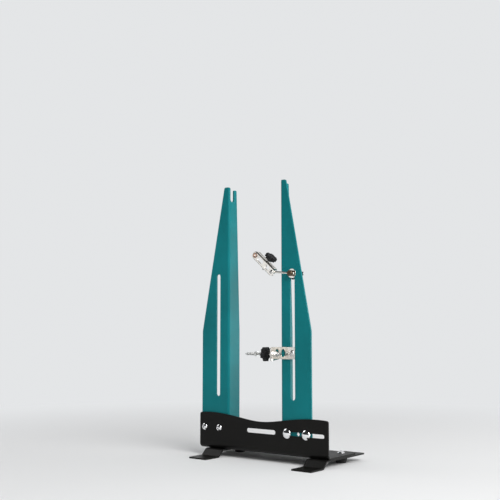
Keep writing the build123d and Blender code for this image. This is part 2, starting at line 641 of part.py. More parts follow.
def disc_link():
    """Channel with its cheeks to the back and a window in its web."""
    half = LINK_WIDTH / 2
    inside = half - LINK_SHEET
    channel = make_face(
        Polyline(
            (-half, 0),
            (half, 0),
            (half, LINK_DEPTH),
            (inside, LINK_DEPTH),
            (inside, LINK_SHEET),
            (-inside, LINK_SHEET),
            (-inside, LINK_DEPTH),
            (-half, LINK_DEPTH),
            close=True,
        )
    )
    channel = fillet(channel.vertices().group_by(Axis.Y)[0], LINK_BEND)
    channel = fillet(channel.vertices().group_by(Axis.Y)[1], LINK_BEND - LINK_SHEET)
    length = LINK_HEEL + LINK_LENGTH
    link = on_link(-LINK_HEEL) * extrude(channel, amount=length)

    outline = link_face(length / 2 - LINK_HEEL) * (Rot(0, 0, 90) * SlotOverall(length, LINK_WIDTH))
    link &= extrude(outline, amount=-LINK_DEPTH)
    for start, end in (LINK_FAR_WINDOW, LINK_NEAR_WINDOW):
        window = Rot(0, 0, 90) * SlotOverall(end - start, LINK_WINDOW_WIDTH)
        link -= extrude(link_face((start + end) / 2) * window, amount=-LINK_SHEET)
    pivot_hole = Circle(M4 / 2 + RUNNING_CLEARANCE)
    link -= extrude(link_face(0) * pivot_hole, amount=-LINK_SHEET)
    eyelet_hole = Circle(EYELET_BARREL / 2 + RUNNING_CLEARANCE)
    link -= extrude(link_face(EYELET_SETBACK) * eyelet_hole, amount=-LINK_SHEET)
    bore = Cylinder(M5 / 2 + RUNNING_CLEARANCE, LINK_WIDTH + 2 * OVERRUN)
    return link - across_link(0) * bore


def disc_eyelet():
    """Flanged eyelet pressed into the free end of the link."""
    barrel = Cylinder(EYELET_BARREL / 2, LINK_SHEET + 2 * EYELET_LIP, align=STANDING)
    flange = Cylinder(EYELET_FLANGE / 2, EYELET_LIP, align=STANDING)
    rolled = fillet(flange.edges().sort_by(Axis.Z)[-1], EYELET_LIP / 2)
    eyelet = barrel + Pos(0, 0, LINK_SHEET + EYELET_LIP) * rolled
    eyelet -= Cylinder(EYELET_BORE / 2, LINK_SHEET + 2 * EYELET_LIP, align=STANDING)
    base = link_face(EYELET_SETBACK)
    back = base.origin - base.z_dir * (LINK_SHEET + EYELET_LIP)
    return Plane(origin=back, x_dir=base.x_dir, z_dir=base.z_dir) * eyelet


def disc_feeler():
    """Feeler screw across the link, its lock nut and its knob."""
    bore_depth = SMALL_KNOB_HUB + SMALL_KNOB_HEAD - KNOB_FLOOR
    length = DISC_TIP_REACH + DISC_KNOB_OFFSET + bore_depth - SLIDE_CLEARANCE
    rod = Cylinder(M5 / 2, length - RIM_TIP_LENGTH, align=STANDING)
    tip = Cone(RIM_TIP_DIAMETER / 2, M5 / 2, RIM_TIP_LENGTH, align=STANDING)
    screw = across_link(-DISC_TIP_REACH) * (tip + Pos(0, 0, RIM_TIP_LENGTH) * rod)
    knob = star_knob(
        SMALL_KNOB_DIAMETER,
        SMALL_KNOB_HEAD,
        SMALL_KNOB_HUB_DIAMETER,
        SMALL_KNOB_HUB,
        bore_for(M5),
        bore_depth,
    )
    return screw, across_link(DISC_KNOB_OFFSET) * knob


def disc_gauge():
    """All pieces of the disc gauge, by name; the rear washer's collar rides in the slot."""
    rear_y = upright_back_y + SLIDE_CLEARANCE + WASHER_THICKNESS
    ring = washer(DISC_WASHER_DIAMETER, M6 + HOLE_CLEARANCE, WASHER_THICKNESS)
    collar_depth = UPRIGHT_SHEET + SLIDE_CLEARANCE / 2
    collar = washer(GAUGE_SLOT_WIDTH - 2 * SLIDE_CLEARANCE, M6 + HOLE_CLEARANCE, collar_depth)
    rear_ring = ring + Pos(0, 0, WASHER_THICKNESS) * collar
    front_place = seen_from_front(gauge_slot_x, washer_back_y, DISC_GAUGE_HEIGHT)
    rear_place = seen_from_front(gauge_slot_x, rear_y, DISC_GAUGE_HEIGHT)
    screw, nut = disc_pivot()
    feeler, knob = disc_feeler()
    return {
        "disc_front_washer": front_place * ring,
        "disc_rear_washer": rear_place * rear_ring,
        "disc_clamp_knob": clamp_knob(rear_y + SLIDE_CLEARANCE, DISC_GAUGE_HEIGHT, M6),
        "disc_stud": disc_stud(),
        "disc_set_screw": disc_set_screw(),
        "disc_rod": disc_rod(),
        "disc_pivot_screw": screw,
        "disc_pivot_nut": nut,
        "disc_link": disc_link(),
        "disc_eyelet": disc_eyelet(),
        "disc_feeler_screw": feeler,
        "disc_feeler_knob": knob,
    }


def foot_fasteners():
    """Screws, nuts and rubber feet of the foot strips."""
    grip = PLATE_SHEET + FOOT_SHEET
    screw = button_screw(M6, BUTTON_M6_DIAMETER, BUTTON_M6_HEIGHT, grip + NUT_M6_HEIGHT + SCREW_PROUD)
    nut = hex_nut(M6, NUT_M6_FLATS, NUT_M6_HEIGHT)
    nut_bottom = FOOT_HEIGHT - FOOT_SHEET - NUT_M6_HEIGHT
    places = foot_screw_places()
    rear_y = front_y + REAR_SCREW_SETBACK
    return {
        "foot_screws": Compound([Pos(x, y, floor_top) * screw for x, y in places]),
        "foot_nuts": Compound([Pos(x, y, nut_bottom) * nut for x, y in places]),
        "rubber_feet": Compound([Pos(x, rear_y, 0) * rubber_foot() for x in foot_xs]),
    }


def build_all():
    """Make every piece and return them by node name."""
    nodes = {"base_plate": base_plate()}
    for side, x in zip(("left", "right"), foot_xs):
        nodes[f"foot_strip_{side}"] = foot_strip(x)
    nodes.update(foot_fasteners())

    nodes["upright_left"] = placed_left(upright([left_face_x - x for x in left_bolt_xs]))
    nodes["upright_right"] = placed_right(upright([x - right_face_x for x in right_bolt_xs]))
    grip = PLATE_SHEET + UPRIGHT_SHEET + WASHER_THICKNESS + NUT_M6_HEIGHT + SCREW_PROUD
    fixed = button_screw(M6, PLATE_BUTTON_DIAMETER, PLATE_BUTTON_HEIGHT, grip)
    sliding = carriage_bolt(M6, grip + SLIDE_CLEARANCE)
    stacks = (
        ("left", fixed, left_bolt_xs, left_upright_y),
        ("width", sliding, right_bolt_xs, right_upright_y),
    )
    for name, bolt, xs, sheet_y in stacks:
        bolts, washers, nuts = upright_stack(bolt, xs, sheet_y)
        nodes[f"{name}_bolts"] = Compound(bolts)
        nodes[f"{name}_washers"] = Compound(washers)
        nodes[f"{name}_nuts"] = Compound(nuts)
    nodes.update(rim_gauge())
    nodes.update(disc_gauge())
    return nodes


if __name__ == "__main__":
    os.makedirs("parts", exist_ok=True)
    for name, shape in build_all().items():
        export_step(shape, f"parts/{name}.step")
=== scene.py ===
"""Looks for a bench truing stand for bicycle wheels, on a plain stage.

The folded sheets are powder coated, the gauges are nickel plated and the knobs are
moulded. Metres. X runs along the front plate, Y goes back, Z goes up, as in the
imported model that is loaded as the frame.
"""

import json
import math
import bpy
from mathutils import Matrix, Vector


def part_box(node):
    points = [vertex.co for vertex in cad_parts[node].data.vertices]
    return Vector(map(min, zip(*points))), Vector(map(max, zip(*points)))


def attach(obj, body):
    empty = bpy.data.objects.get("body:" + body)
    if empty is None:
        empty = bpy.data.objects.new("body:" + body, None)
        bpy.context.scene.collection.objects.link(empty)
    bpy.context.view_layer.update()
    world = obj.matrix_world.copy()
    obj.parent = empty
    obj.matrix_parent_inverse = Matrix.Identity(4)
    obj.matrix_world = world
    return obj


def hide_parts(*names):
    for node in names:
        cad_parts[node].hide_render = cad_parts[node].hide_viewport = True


bl_info = {
    "name": "Wheel Truing Stand",
    "version": (1, 0, 0),
    "blender": (4, 5, 0),
    "location": "View3D > Sidebar > Truing Stand",
    "description": "Finishes, threads, knobs and a plain stage for a wheel truing stand",
    "category": "Object",
}

import bmesh
import bpy
from mathutils import Matrix, Vector

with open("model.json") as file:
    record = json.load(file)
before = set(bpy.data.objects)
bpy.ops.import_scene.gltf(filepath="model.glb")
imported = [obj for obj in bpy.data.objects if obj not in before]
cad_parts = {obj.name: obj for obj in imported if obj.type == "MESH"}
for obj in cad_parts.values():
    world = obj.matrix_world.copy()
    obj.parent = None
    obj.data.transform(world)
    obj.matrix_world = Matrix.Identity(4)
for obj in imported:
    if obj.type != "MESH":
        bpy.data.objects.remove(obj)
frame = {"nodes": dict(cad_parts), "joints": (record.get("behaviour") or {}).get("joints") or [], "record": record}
NODES = frame["nodes"]
RECORD = frame["record"]
BODY_OF = {node: body for body, nodes in RECORD["behaviour"]["bodies"].items() for node in nodes}
SLOT_OF = {part["node"]: part["material_slot"] for part in RECORD["subparts"]}
# The stud shows brown and dull beside its bright washer.
SLOT_OF["disc_stud"] = SLOT_OF["disc_set_screw"]
JOINTS = {joint["name"]: joint for joint in frame["joints"]}
MM = 0.001

# Rounds on edges, in degrees between the faces beside an edge.
ROUNDED_ANGLE = 38.0
SHARP_ANGLE = 42.0
FLAT_ANGLE = 0.05
ROUND_SEGMENTS = 2
FLAT_FACE_WEIGHT = 100
WELD = 0.002 * MM
FINE_WELD = 0.001 * MM

# Screws.
M6 = 6 * MM
M6_NUT_HALF_CORNERS = 5.77 * MM
M6_NUT_HALF_FLATS = 5.0 * MM
M5_RADIUS = 2.5 * MM
CREST_RISE = 0.1 * MM
SCREW_END = 0.5 * MM
POINT_LENGTH = 3.0 * MM
POINT_RADIUS = 1.5 * MM
ROD_SIDES = 32
DISC_KNOB_OFFSET = 10.0 * MM
DISC_TIP_REACH = 10.5 * MM
DISC_FEELER_LENGTH = 28.4 * MM

# Star knobs: shares of the head's thickness, the hub's radius and the knob's radius.
LOW_ROUND_SHARE = 0.11
HIGH_ROUND_SHARE = 0.30
HUB_ROUND_SHARE = 0.06
DISH_RIM_SHARE = 0.62
DISH_FLOOR_SHARE = 0.50
LOBE_ROUNDING = 0.12
STEPS_A_LOBE = 30
STEPS_ALONG = 90

# The stage: lamps aim at the middle of the stand.
SKY_TINT = (0.97, 0.985, 1.0)
AIM = (0.0, 0.0, 0.22)
LAMPS = {
    "key": ((2.15, -0.75, 1.7), 2.2),
    "fill": ((-1.95, -0.39, 1.91), 1.5),
    "rim": ((1.0, 1.4, 0.18), 0.82),
}
HAZE_FROM = 0.3
HAZE_TO = 1.3
PANEL_FACING = (0.2, -0.98, 0.0)
PANEL_EDGE = (-0.5, -0.2)
PANEL_FOOT = (0.08, 0.16)


def colour(name, description, value):
    """Colour property in linear values."""
    return bpy.props.FloatVectorProperty(
        name=name, description=description, subtype="COLOR", size=3, min=0.0, max=1.0, default=value
    )


def length(name, description, value):
    """Length property in metres."""
    return bpy.props.FloatProperty(
        name=name, description=description, subtype="DISTANCE", unit="LENGTH", precision=5, default=value
    )


def number(name, description, value):
    """Plain number property."""
    return bpy.props.FloatProperty(name=name, description=description, default=value)


def count(name, description, value):
    """Whole number property."""
    return bpy.props.IntProperty(name=name, description=description, min=3, default=value)


class StandFinishes(bpy.types.PropertyGroup):
    """Colours of the stand's finishes."""

    upright_coat: colour("Upright coat", "Powder coat of the two uprights", (0.003, 0.164, 0.180))
    # Lit tone of the coat: painted as a highlight along the edges, and also the tone of rubs and dust.
    upright_bloom: colour("Upright bloom", "Paler tone of that coat where it is thin", (0.030, 0.245, 0.262))
    base_coat: colour("Base coat", "Powder coat of the base and its foot strips", (0.0070, 0.0067, 0.0061))
    # Lit tone of the base coat: painted as a highlight along its edges, and also the tone of rubs and dust.
    base_bloom: colour("Base bloom", "Paler tone of the base coat at its edges", (0.036, 0.036, 0.034))
    chrome: colour("Chrome", "Domed bolt heads", (0.93, 0.93, 0.94))
    nickel: colour("Nickel", "Plating of the gauges", (0.95, 0.91, 0.85))
    zinc: colour("Zinc", "Plating of nuts, washers and screws", (0.68, 0.68, 0.67))
    copper: colour("Copper", "Eyelet in the disc gauge", (0.52, 0.35, 0.27))
    oiled_steel: colour("Oiled steel", "Stud of the disc gauge and its grub screw", (0.17, 0.125, 0.085))
    knob: colour("Knob", "Moulded star knobs", (0.009, 0.009, 0.010))
    rubber: colour("Rubber", "Rear feet", (0.016, 0.016, 0.016))


class StandEdges(bpy.types.PropertyGroup):
    """Widths of the small rounds on edges."""

    sheet: length("Sheet edge", "Round left by the coat on the edge of a thick sheet", 0.0005)
    strip: length("Strip edge", "Round on the edge of the gauges' thin strips", 0.0003)
    fastener: length("Fastener edge", "Round on nuts, washers and screw heads", 0.00018)
    rubber: length("Rubber edge", "Round on the rubber feet", 0.0012)


class StandThreads(bpy.types.PropertyGroup):
    """Sizes of the screw threads."""

    pitch_m6: length("M6 pitch", "Rise of one turn on the bolts and foot screws", 0.001)
    pitch_m5: length("M5 pitch", "Rise of one turn on the feeler screws", 0.0008)
    depth_share: number("Depth share", "Depth of a thread as a share of its pitch", 0.42)
    steps: count("Steps", "Straight steps in one turn of a thread", 20)


class StandKnobs(bpy.types.PropertyGroup):
    """Sizes of the star knobs."""

    diameter: length("Diameter", "Clamp knobs and rim feeler knob across their lobes", 0.0256)
    head: length("Head", "Thickness of their star", 0.008)
    hub_diameter: length("Hub diameter", "Collar under the star", 0.013)
    hub: length("Hub", "Height of the collar", 0.0045)
    small_diameter: length("Small diameter", "Disc feeler knob across its lobes", 0.0225)
    small_head: length("Small head", "Thickness of its star", 0.007)
    small_hub_diameter: length("Small hub diameter", "Collar under its star", 0.01)
    small_hub: length("Small hub", "Height of its collar", 0.003)
    lobes: count("Lobes", "Number of lobes round a knob", 5)
    scallop_offset: number("Scallop offset", "Centre of a scallop as a share of the radius", 1.08)
    scallop_radius: number("Scallop radius", "Radius of a scallop as a share of the radius", 0.38)
    dish: length("Dish", "Depth of the shallow dish in the end of a knob", 0.0011)


class StandStage(bpy.types.PropertyGroup):
    """Camera, lamps and floor."""

    camera: bpy.props.FloatVectorProperty(
        name="Camera", description="Where the camera stands", subtype="TRANSLATION", unit="LENGTH", size=3,
        default=(0.8716, -1.1831, 0.2155),
    )
    turn: bpy.props.FloatProperty(
        name="Turn", description="How far the camera stands to the right of the front", subtype="ANGLE",
        default=math.radians(37.85),
    )
    rise: bpy.props.FloatProperty(
        name="Rise", description="How far the camera looks up", subtype="ANGLE", default=math.radians(5.8)
    )
    lens: number("Lens", "Focal length in millimetres on a 36 mm sensor", 59.67)
    sky: number("Sky", "Strength of the even light from all round", 0.44)
    haze: number("Haze", "Brightness of the backdrop", 0.80)
    dark_panel: number("Dark panel", "How dark the studio in front is in mirror finishes", 0.97)
    key: number("Key", "Watts of the large soft lamp on the right", 78.0)
    fill: number("Fill", "Watts of the soft lamp on the left", 10.0)
    rim: number("Rim", "Watts of the low soft lamp behind on the right", 8.5)
    floor: colour("Floor", "Pale floor and backdrop", (0.75, 0.75, 0.75))


class Signal:
    """A node's output that Python's operators combine through Math nodes."""

    def __init__(self, graph, socket):
        self.graph = graph
        self.socket = socket

    def math(self, operation, *others):
        """Math node with this signal first."""
        return self.graph.math(operation, self, *others)

    def __add__(self, other):
        return self.math("ADD", other)

    def __radd__(self, other):
        return self.math("ADD", other)

    def __sub__(self, other):
        return self.math("SUBTRACT", other)

    def __rsub__(self, other):
        return self.graph.math("SUBTRACT", other, self)

    def __mul__(self, other):
        return self.math("MULTIPLY", other)

    def __rmul__(self, other):
        return self.math("MULTIPLY", other)

    def __truediv__(self, other):
        return self.math("DIVIDE", other)

    def __rtruediv__(self, other):
        return self.graph.math("DIVIDE", other, self)

    def clamped(self):
        """The signal kept between 0 and 1."""
        return self.graph.math("ADD", self, 0.0, clamp=True)

    def between(self, low, high):
        """0 below low, 1 above high and a smooth step from one to the other."""
        inputs = {"Value": self, "From Min": low, "From Max": high, "To Min": 0.0, "To Max": 1.0}
        return self.graph.add("ShaderNodeMapRange", {"interpolation_type": "SMOOTHSTEP"}, inputs)


class Graph:
    """A node tree whose nodes all come from one method."""

    def __init__(self, tree):
        self.tree = tree

    def add(self, kind, settings=None, inputs=None, output=0):
        """Add a node with its settings and inputs, and return one of its outputs."""
        node = self.tree.nodes.new(kind)
        for key, value in (settings or {}).items():
            setattr(node, key, value)
        for key, value in (inputs or {}).items():
            socket = node.inputs[key]
            if isinstance(value, Signal):
                self.tree.links.new(value.socket, socket)
            elif isinstance(value, list):
                for part in value:
                    self.tree.links.new(part.socket, socket)
            else:
                socket.default_value = value
        return Signal(self, node.outputs[output]) if node.outputs else node

    def math(self, operation, *values, clamp=False):
        """Math node on signals and plain numbers."""
        settings = {"operation": operation, "use_clamp": clamp}
        return self.add("ShaderNodeMath", settings, dict(enumerate(values)))

    def others(self, signal):
        """All the outputs of a signal's node, by name."""
        return {socket.name: Signal(self, socket) for socket in signal.socket.node.outputs}


class Finish(Graph):
    """A material with its patterns on Object coordinates."""

    def __init__(self, name):
        self.material = bpy.data.materials.new(name)
        self.material.use_nodes = True
        super().__init__(self.material.node_tree)
        self.tree.nodes.clear()
        self.place = self.others(self.add("ShaderNodeTexCoord"))["Object"]

    def noise(self, scale, detail, roughness=0.5, stretch=None):
        """Noise from 0 to 1, with its features about 1 / scale metres wide."""
        place = self.place
        if stretch:
            place = self.add("ShaderNodeMapping", None, {"Vector": place, "Scale": stretch})
        inputs = {"Vector": place, "Scale": scale, "Detail": detail, "Roughness": roughness}
        return self.add("ShaderNodeTexNoise", None, inputs)

    def speckle(self, scale, low, high):
        """Sparse spots, 1 inside a spot."""
        cells = self.add("ShaderNodeTexVoronoi", None, {"Vector": self.place, "Scale": scale})
        return 1.0 - cells.between(low, high)

    def edge(self, width):
        """1 on convex and concave edges narrower than the width, 0 on flat faces."""
        rounded = self.add("ShaderNodeBevel", {"samples": 8}, {"Radius": width})
        flat = self.others(self.add("ShaderNodeNewGeometry"))["Normal"]
        alike = self.add("ShaderNodeVectorMath", {"operation": "DOT_PRODUCT"}, {0: rounded, 1: flat}, "Value")
        return (1.0 - alike).between(0.02, 0.25)

    def mixed(self, mask, first, second):
        """First colour where the mask is 0, second where it is 1."""
        inputs = {"Factor": mask, 6: self.as_colour(first), 7: self.as_colour(second)}
        return self.add("ShaderNodeMix", {"data_type": "RGBA"}, inputs, 2)

    def as_colour(self, value):
        """A signal as it is, or a plain colour with its alpha."""
        return value if isinstance(value, Signal) else (*value, 1.0)

    def bumped(self, height, distance, strength):
        """Normal from a height from 0 to 1, with the distance that 1 stands for."""
        inputs = {"Height": height, "Distance": distance, "Strength": strength}
        return self.add("ShaderNodeBump", None, inputs)

    def finish(self, inputs):
        """Join a Principled shader with these inputs to the output."""
        shader = self.add("ShaderNodeBsdfPrincipled", None, inputs)
        self.add("ShaderNodeOutputMaterial", None, {"Surface": shader})
        return self.material


def shade(value, factor):
    """A colour made lighter or darker by a factor."""
    return tuple(min(1.0, part * factor) for part in value)


def powder_coat(name, base, highlight_and_wear, peel, gloss):
    """Baked powder coat: fine orange peel, faint clouds, paler edges in the coat's lit tone as a painted
    highlight, a few rubs and specks of dust.
    """
    coat = Finish(name)
    clouds = coat.noise(9.0, 3.0, 0.6)
    grain = coat.noise(1100.0, 2.0, 0.55)
    tone = coat.mixed(clouds.between(0.3, 0.7), shade(base, 0.90), shade(base, 1.12))
    # Painted highlight: the edges take the coat's lit tone, as if light caught them.
    edges = coat.edge(0.0009) * coat.noise(160.0, 3.0).between(0.25, 0.7)
    tone = coat.mixed(edges * 0.75, tone, highlight_and_wear)
    rubs = coat.noise(30.0, 5.0, 0.7, (1.0, 1.0, 9.0)).between(0.62, 0.80)
    tone = coat.mixed(rubs * 0.16, tone, highlight_and_wear)
    dust = coat.speckle(420.0, 0.05, 0.09) * clouds.between(0.45, 0.75)
    tone = coat.mixed(dust * 0.20, tone, shade(highlight_and_wear, 1.4))
    roughness = gloss + clouds * 0.08 + rubs * 0.10 - edges * 0.05
    normal = coat.bumped(coat.noise(420.0, 1.0) * 0.7 + grain * 0.3, peel, 0.55)
    sheen = {"Specular IOR Level": 0.13}
    return coat.finish({"Base Color": tone, "Roughness": roughness, "Normal": normal, **sheen})


def plating(name, base, roughness, brush=(1.0, 14.0, 14.0), painted_edge_shade=0.0):
    """Bright plating on steel: faint clouds, fine brush lines, spots, and painted shade along the edges for the
    dark reflections in the folds.
    """
    metal = Finish(name)
    clouds = metal.noise(130.0, 3.0, 0.6)
    lines = metal.noise(60.0, 3.0, 0.65, brush)
    tone = metal.mixed(clouds.between(0.3, 0.75), shade(base, 0.86), shade(base, 1.06))
    spots = metal.speckle(700.0, 0.06, 0.12) * clouds.between(0.55, 0.8)
    tone = metal.mixed(spots * 0.5, tone, shade(base, 0.45))
    if painted_edge_shade:
        # Painted shade: darkened edges stand for the dark reflections and shadow in the folds of the strips.
        edges = metal.edge(0.0005) * metal.noise(240.0, 3.0).between(0.2, 0.6)
        tone = metal.mixed(edges * painted_edge_shade, tone, shade(base, 0.10))
    rough = roughness + lines.between(0.35, 0.75) * 0.12 + spots * 0.2
    normal = metal.bumped(lines, 0.000015, 0.35)
    return metal.finish({"Base Color": tone, "Metallic": 1.0, "Roughness": rough, "Normal": normal})


def polished(name, base):
    """Mirror chrome with faint wiping marks."""
    metal = Finish(name)
    haze = metal.noise(220.0, 3.0, 0.6, (1.0, 1.0, 4.0))
    tone = metal.mixed(haze.between(0.4, 0.8), base, shade(base, 0.92))
    rough = 0.03 + haze.between(0.5, 0.85) * 0.07
    return metal.finish({"Base Color": tone, "Metallic": 1.0, "Roughness": rough})


def moulded(name, base, roughness, grain):
    """Moulded plastic or rubber: fine spark grain, handled edges a little paler."""
    body = Finish(name)
    sparks = body.noise(grain, 2.0, 0.6)
    handling = body.noise(90.0, 3.0)
    edges = body.edge(0.0007) * handling.between(0.3, 0.7)
    tone = body.mixed(edges * 0.6, base, shade(base, 3.2))
    tone = body.mixed(handling.between(0.55, 0.85) * 0.3, tone, shade(base, 1.8))
    rough = roughness + handling * 0.12 - edges * 0.10
    normal = body.bumped(sparks, 0.00003, 0.6)
    sheen = {"Specular IOR Level": 0.30}
    return body.finish({"Base Color": tone, "Roughness": rough, "Normal": normal, **sheen})


def material_for(slot):
    """The finish of a material slot, made once."""
    tones = bpy.context.scene.stand_finishes
    makers = {
        "upright_coat": lambda n: powder_coat(
            n, tones.upright_coat, tones.upright_bloom, peel=0.00005, gloss=0.32
        ),
        "base_coat": lambda n: powder_coat(n, tones.base_coat, tones.base_bloom, peel=0.00004, gloss=0.31),
        "chrome": lambda n: polished(n, tones.chrome),
        # The nickel gauges get painted shade along their edges.
        "nickel": lambda n: plating(n, tones.nickel, roughness=0.10, painted_edge_shade=0.8),
        "zinc": lambda n: plating(n, tones.zinc, roughness=0.24, brush=(9.0, 1.0, 9.0)),
        "copper": lambda n: plating(n, tones.copper, roughness=0.20),
        "dark_steel": lambda n: plating(n, tones.oiled_steel, roughness=0.30),
        "knob": lambda n: moulded(n, tones.knob, roughness=0.46, grain=2400.0),
        "rubber": lambda n: moulded(n, tones.rubber, roughness=0.72, grain=900.0),
    }
    name = f"{slot}_finish"
    return bpy.data.materials.get(name) or makers[slot](name)


def new_object(name, mesh):
    """An object at the origin for a mesh, linked to the scene."""
    piece = bpy.data.objects.new(name, mesh)
    bpy.context.scene.collection.objects.link(piece)
    return piece


def plain(piece):
    """Turn a piece with modifiers into a plain mesh and take the modifiers off."""
    evaluated = piece.evaluated_get(bpy.context.evaluated_depsgraph_get())
    mesh = bpy.data.meshes.new_from_object(evaluated)
    mesh.name = piece.name
    piece.modifiers.clear()
    piece.data = mesh
    if not mesh.polygons:
        raise RuntimeError(f"{piece.name} came out empty")
    return piece


def seat(piece, node):
    """Let a piece ride with a CAD node's body and stand for it."""
    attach(piece, BODY_OF[node])
    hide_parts(node)
    return piece


def merged_copy(node):
    """The node's mesh as one skin with flat faces whole, in a new mesh."""
    skin = bmesh.new()
    skin.from_mesh(NODES[node].data)
    bmesh.ops.remove_doubles(skin, verts=skin.verts, dist=WELD)
    bmesh.ops.dissolve_limit(
        skin,
        angle_limit=math.radians(FLAT_ANGLE),
        use_dissolve_boundaries=False,
        verts=skin.verts,
        edges=skin.edges,
    )
    for face in skin.faces:
        face.smooth = True
    mesh = bpy.data.meshes.new(node)
    skin.to_mesh(mesh)
    skin.free()
    mesh.materials.append(material_for(SLOT_OF[node]))
    return mesh


def softened(node, width):
    """A node with small rounds on its sharp edges, which catch the light."""
    piece = new_object(f"{node}_rounded", merged_copy(node))
    bevel = piece.modifiers.new("round", "BEVEL")
    bevel.width = width
    bevel.segments = ROUND_SEGMENTS
    bevel.limit_method = "ANGLE"
    bevel.angle_limit = math.radians(ROUNDED_ANGLE)
    bevel.use_clamp_overlap = True
    bevel.miter_outer = "MITER_ARC"
    plain(piece)
    piece.data.set_sharp_from_angle(angle=math.radians(SHARP_ANGLE))
    weighted = piece.modifiers.new("flat faces", "WEIGHTED_NORMAL")
    weighted.mode = "FACE_AREA"
    weighted.weight = FLAT_FACE_WEIGHT
    weighted.keep_sharp = True
    return seat(plain(piece), node)


class Rule(Graph):
    """A Geometry Nodes tree with named inputs."""

    def __init__(self, name, inputs):
        tree = bpy.data.node_groups.new(name, "GeometryNodeTree")
        super().__init__(tree)
        tree.interface.new_socket("Geometry", in_out="INPUT", socket_type="NodeSocketGeometry")
        for label, kind in inputs.items():
            tree.interface.new_socket(label, in_out="INPUT", socket_type=f"NodeSocket{kind}")
        tree.interface.new_socket("Geometry", in_out="OUTPUT", socket_type="NodeSocketGeometry")
        self.given = self.others(self.add("NodeGroupInput"))

    def ridge(self, radius, turns, height):
        """A thread's ridge, square on edge in section, that winds up a helix."""
        inputs = {"Resolution": self.given["Steps"], "Rotations": turns, "Height": height}
        inputs.update({"Start Radius": radius, "End Radius": radius})
        helix = self.add("GeometryNodeCurveSpiral", None, inputs)
        inputs = {"Resolution": 4, "Radius": self.given["Depth"]}
        section = self.add("GeometryNodeCurvePrimitiveCircle", {"mode": "RADIUS"}, inputs)
        inputs = {"Curve": helix, "Profile Curve": section, "Fill Caps": True}
        return self.add("GeometryNodeCurveToMesh", None, inputs)

    def shaded(self, geometry, smooth):
        """The geometry with smooth or flat shading."""
        inputs = {"Geometry": geometry, "Shade Smooth": smooth}
        return self.add("GeometryNodeSetShadeSmooth", None, inputs)

    def end(self, geometry):
        """Close the tree with real geometry in the given material."""
        real = self.add("GeometryNodeRealizeInstances", None, {"Geometry": geometry})
        inputs = {"Geometry": real, "Material": self.given["Material"]}
        done = self.add("GeometryNodeSetMaterial", None, inputs)
        self.add("NodeGroupOutput", None, {"Geometry": done})
        return self.tree


def ruled(name, mesh, build, values):
    """Run a Geometry Nodes tree, built once, on a mesh, and return a plain piece."""
    tree = bpy.data.node_groups.get(build.__name__) or build(build.__name__)
    piece = new_object(name, mesh)
    modifier = piece.modifiers.new("rule", "NODES")
    modifier.node_group = tree
    for item in tree.interface.items_tree:
        if item.in_out == "INPUT" and item.name in values:
            modifier[item.identifier] = values[item.name]
    return plain(piece)


def points_mesh(name, places, edges=()):
    """A mesh of bare points, with edges where a tree reads it as a line."""
    mesh = bpy.data.meshes.new(name)
    mesh.from_pydata([tuple(place) for place in places], list(edges), [])
    return mesh


def thread(name):
    """Tree: a thread of a crest radius, pitch and turns, set on each point."""
    inputs = {"Crest": "Float", "Depth": "Float", "Pitch": "Float", "Turns": "Float"}
    inputs.update({"Steps": "Int", "Tilt": "Rotation", "Material": "Material"})
    rule = Rule(name, inputs)
    given = rule.given
    middle = given["Crest"] - given["Depth"]
    ridge = rule.ridge(middle, given["Turns"], given["Pitch"] * given["Turns"])
    inputs = {"Points": given["Geometry"], "Instance": rule.shaded(ridge, False), "Rotation": given["Tilt"]}
    return rule.end(rule.add("GeometryNodeInstanceOnPoints", None, inputs))


def star_knob(name):
    """Tree: a turned profile drawn in by scallops round it."""
    inputs = {"Radius": "Float", "Hub radius": "Float", "Lobes": "Float", "Scallop offset": "Float"}
    inputs.update({"Scallop radius": "Float", "Rounding": "Float", "Around": "Int", "Along": "Int"})
    inputs["Material"] = "Material"
    rule = Rule(name, inputs)
    given = rule.given
    inputs = {"Size X": 1.0, "Size Y": 1.0, "Vertices X": given["Around"], "Vertices Y": given["Along"]}
    cells = rule.add("GeometryNodeMeshGrid", None, inputs)
    spot = rule.others(rule.add("ShaderNodeSeparateXYZ", None, {0: rule.add("GeometryNodeInputPosition")}))
    angle = (spot["X"] + 0.5) * math.tau
    profile = rule.add("GeometryNodeMeshToCurve", None, {"Mesh": given["Geometry"]})
    inputs = {"Curves": profile, "Factor": spot["Y"] + 0.5}
    sample = rule.add("GeometryNodeSampleCurve", {"mode": "FACTOR"}, inputs)
    section = rule.others(rule.add("ShaderNodeSeparateXYZ", None, {0: rule.others(sample)["Position"]}))
    out = section["X"]

    half_sector = math.pi / given["Lobes"]
    swing = angle.math("WRAP", half_sector, half_sector * -1.0)
    side = given["Scallop offset"] * swing.math("SINE")
    near = given["Scallop offset"] * swing.math("COSINE")
    inside = (given["Scallop radius"] * given["Scallop radius"] - side * side).math("MAXIMUM", 0.0)
    scallop = near - inside.math("SQRT")
    outline = scallop.math("SMOOTH_MIN", 1.0, given["Rounding"])
    share = ((out - given["Hub radius"]) / (given["Radius"] - given["Hub radius"])).clamped()
    out = out * (1.0 - share * (1.0 - outline))
    inputs = {"X": out * angle.math("COSINE"), "Y": out * angle.math("SINE"), "Z": section["Z"]}
    place = rule.add("ShaderNodeCombineXYZ", None, inputs)
    skin = rule.add("GeometryNodeSetPosition", None, {"Geometry": cells, "Position": place})
    inputs = {"Geometry": skin, "Distance": 2 * WELD}
    closed = rule.add("GeometryNodeMergeByDistance", None, inputs)
    return rule.end(rule.shaded(closed, True))


